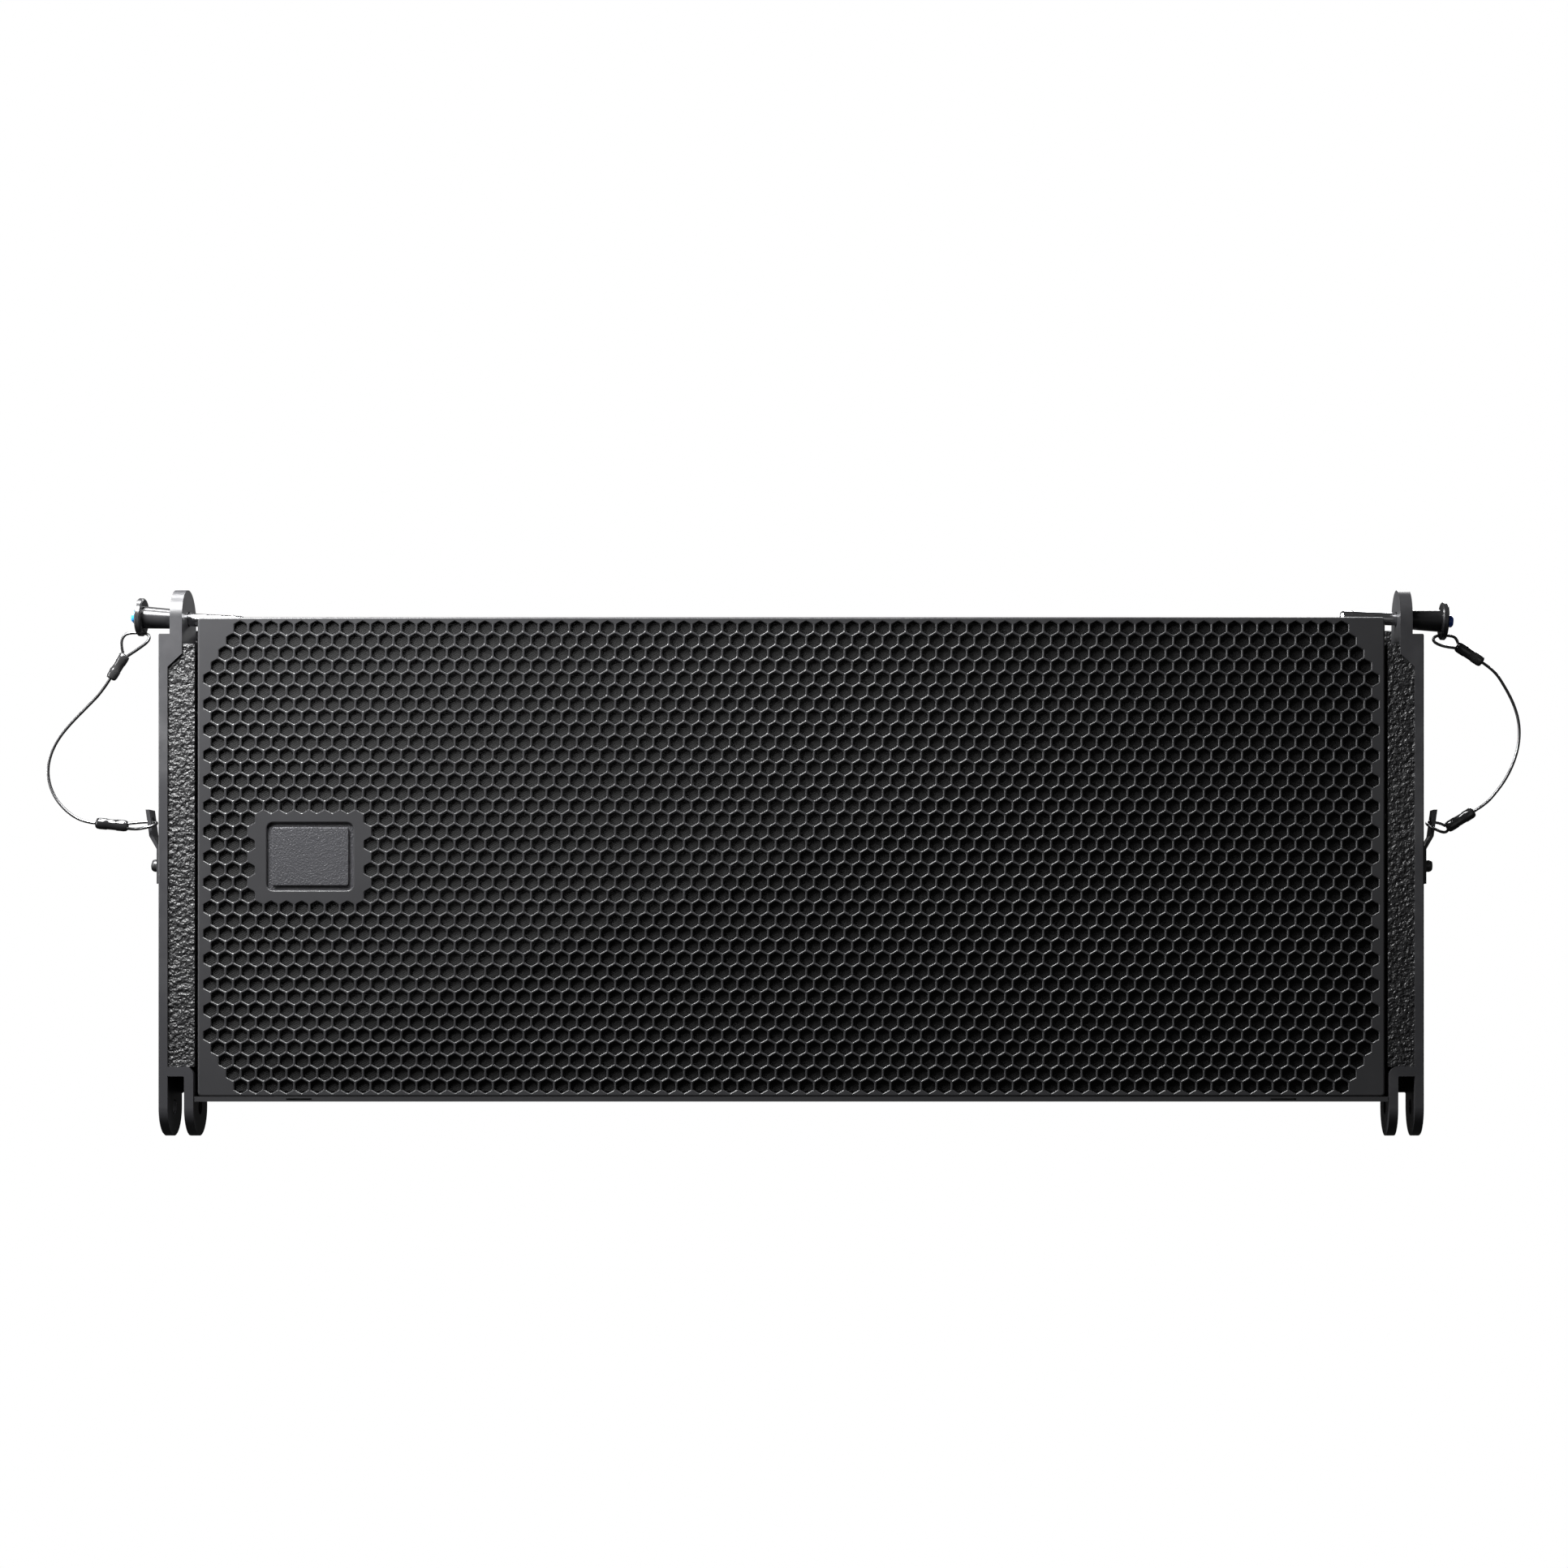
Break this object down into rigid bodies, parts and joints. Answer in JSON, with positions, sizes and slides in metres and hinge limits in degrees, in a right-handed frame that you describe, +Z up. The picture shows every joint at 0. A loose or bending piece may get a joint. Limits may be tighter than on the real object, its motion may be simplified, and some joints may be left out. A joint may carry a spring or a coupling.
{
  "type": "line array speaker",
  "caption": "Wedge-shaped passive line array speaker element with perforated steel grille, front link ears, quick-release pins on lanyards and a rear link arm.",
  "frame": {"origin": "middle of the upper front link axis, between the two upper ears, from which the box hangs", "axes": "+X across to the right seen from the front, +Y back from the grille, +Z up"},
  "size_m": [0.7279, 0.427, 0.2696],
  "materials": {
    "textured_black": "coarse sprayed black coating on plywood",
    "baffle_ply": "flat black on plywood",
    "grille_steel": "satin black powder coat",
    "grille_cloth": "black acoustic mesh",
    "badge_plate": "satin dark grey",
    "rigging_steel": "satin black powder coat",
    "black_screw": "blackened steel",
    "pin_steel": "bright ground steel",
    "pin_grip_black": "black anodised",
    "left_button_blue": "glossy light blue",
    "right_button_blue": "glossy deep blue",
    "lanyard_metal": "stranded steel rope and crimps",
    "horn_plastic": "moulded black",
    "driver_steel": "black",
    "circuit_board": "fibreglass board with parts",
    "panel_steel": "satin black",
    "socket_plastic": "moulded black",
    "basket_metal": "cast, black",
    "motor_iron": "plated",
    "cone_paper": "treated paper",
    "surround_rubber": "moulded rubber",
    "spider_cloth": "impregnated cloth",
    "handle_plastic": "moulded black"
  },
  "bodies": {
    "root": {"cabinet_top": "textured_black", "cabinet_bottom": "textured_black", "cabinet_left_side": "textured_black", "cabinet_right_side": "textured_black", "cabinet_back": "textured_black", "baffle_board": "baffle_ply", "grille": "grille_steel", "grille_foam": "grille_cloth", "grille_sill": "grille_steel", "badge": "badge_plate", "grille_screws": "black_screw", "lanyard_eyelets": "rigging_steel", "rigging_screws": "black_screw", "driver_screws": "black_screw", "rear_bracket_screws": "black_screw", "waveguide": "horn_plastic", "compression_driver": "driver_steel", "crossover": "circuit_board", "input_panel": "panel_steel", "speaker_sockets": "socket_plastic", "rear_bracket": "rigging_steel", "rear_pivot_bolt": "black_screw", "left_rigging_plate": "rigging_steel", "left_top_link": "rigging_steel", "left_lower_bracket": "rigging_steel", "left_lanyard_wire": "lanyard_metal", "left_lanyard_lower": "lanyard_metal", "left_woofer_basket": "basket_metal", "left_woofer_motor": "motor_iron", "left_woofer_surround": "surround_rubber", "left_woofer_spider": "spider_cloth", "left_handle_cup": "handle_plastic", "right_rigging_plate": "rigging_steel", "right_top_link": "rigging_steel", "right_lower_bracket": "rigging_steel", "right_lanyard_wire": "lanyard_metal", "right_lanyard_lower": "lanyard_metal", "right_woofer_basket": "basket_metal", "right_woofer_motor": "motor_iron", "right_woofer_surround": "surround_rubber", "right_woofer_spider": "spider_cloth", "right_handle_cup": "handle_plastic"},
    "left_pin": {"left_pin_shank": "pin_steel", "left_pin_grip": "pin_grip_black", "left_pin_spring": "pin_steel", "left_lanyard_upper": "lanyard_metal"},
    "left_button": {"left_pin_button": "left_button_blue"},
    "left_ball_a": {"left_pin_ball_a": "pin_steel"},
    "left_ball_b": {"left_pin_ball_b": "pin_steel"},
    "left_cone": {"left_woofer_cone": "cone_paper"},
    "right_pin": {"right_pin_shank": "pin_steel", "right_pin_grip": "pin_grip_black", "right_pin_spring": "pin_steel", "right_lanyard_upper": "lanyard_metal"},
    "right_button": {"right_pin_button": "right_button_blue"},
    "right_ball_a": {"right_pin_ball_a": "pin_steel"},
    "right_ball_b": {"right_pin_ball_b": "pin_steel"},
    "right_cone": {"right_woofer_cone": "cone_paper"},
    "link_arm": {"rear_link_arm": "rigging_steel"},
    "lock_pin": {"rear_lock_pin": "pin_steel"}
  },
  "joints": [
    {"name": "left_pin_pull", "type": "slide", "parent": "root", "child": "left_pin", "axis": [-0.9986, 0, 0.0523], "range_m": [0, 0.036], "deforming": ["left_lanyard_wire"]},
    {"name": "left_button_press", "type": "slide", "parent": "left_pin", "child": "left_button", "axis": [0.9986, 0, -0.0523], "range_m": [0, 0.002], "stiffness_N_per_m": 900, "springref_m": -0.002, "deforming": ["left_pin_spring"]},
    {"name": "left_ball_a_in", "type": "slide", "parent": "left_pin", "child": "left_ball_a", "axis": [0.0523, 0, 0.9986], "range_m": [0, 0.00035]},
    {"name": "left_ball_b_in", "type": "slide", "parent": "left_pin", "child": "left_ball_b", "axis": [-0.0523, 0, -0.9986], "range_m": [0, 0.00035]},
    {"name": "left_cone_travel", "type": "slide", "parent": "root", "child": "left_cone", "axis": [0, 1, 0], "range_m": [-0.005, 0.005], "stiffness_N_per_m": 2500, "deforming": ["left_woofer_surround", "left_woofer_spider"]},
    {"name": "right_pin_pull", "type": "slide", "parent": "root", "child": "right_pin", "axis": [0.9992, 0, -0.0401], "range_m": [0, 0.036], "deforming": ["right_lanyard_wire"]},
    {"name": "right_button_press", "type": "slide", "parent": "right_pin", "child": "right_button", "axis": [-0.9992, 0, 0.0401], "range_m": [0, 0.002], "stiffness_N_per_m": 900, "springref_m": -0.002, "deforming": ["right_pin_spring"]},
    {"name": "right_ball_a_in", "type": "slide", "parent": "right_pin", "child": "right_ball_a", "axis": [0.0401, 0, 0.9992], "range_m": [0, 0.00035]},
    {"name": "right_ball_b_in", "type": "slide", "parent": "right_pin", "child": "right_ball_b", "axis": [-0.0401, 0, -0.9992], "range_m": [0, 0.00035]},
    {"name": "right_cone_travel", "type": "slide", "parent": "root", "child": "right_cone", "axis": [0, 1, 0], "range_m": [-0.005, 0.005], "stiffness_N_per_m": 2500, "deforming": ["right_woofer_surround", "right_woofer_spider"]},
    {"name": "rear_link_swing", "type": "hinge", "parent": "root", "child": "link_arm", "pos_m": [0, 0.3997, -0.057], "axis": [1, 0, 0], "range_deg": [0, 180]},
    {"name": "rear_lock_pin_pull", "type": "slide", "parent": "root", "child": "lock_pin", "axis": [1, 0, 0], "range_m": [0, 0.032]}
  ],
  "couplings": [
    {"joint": "left_ball_a_in", "follows": "left_button_press", "ratio": 0.175},
    {"joint": "left_ball_b_in", "follows": "left_button_press", "ratio": 0.175},
    {"joint": "right_ball_a_in", "follows": "right_button_press", "ratio": 0.175},
    {"joint": "right_ball_b_in", "follows": "right_button_press", "ratio": 0.175}
  ]
}
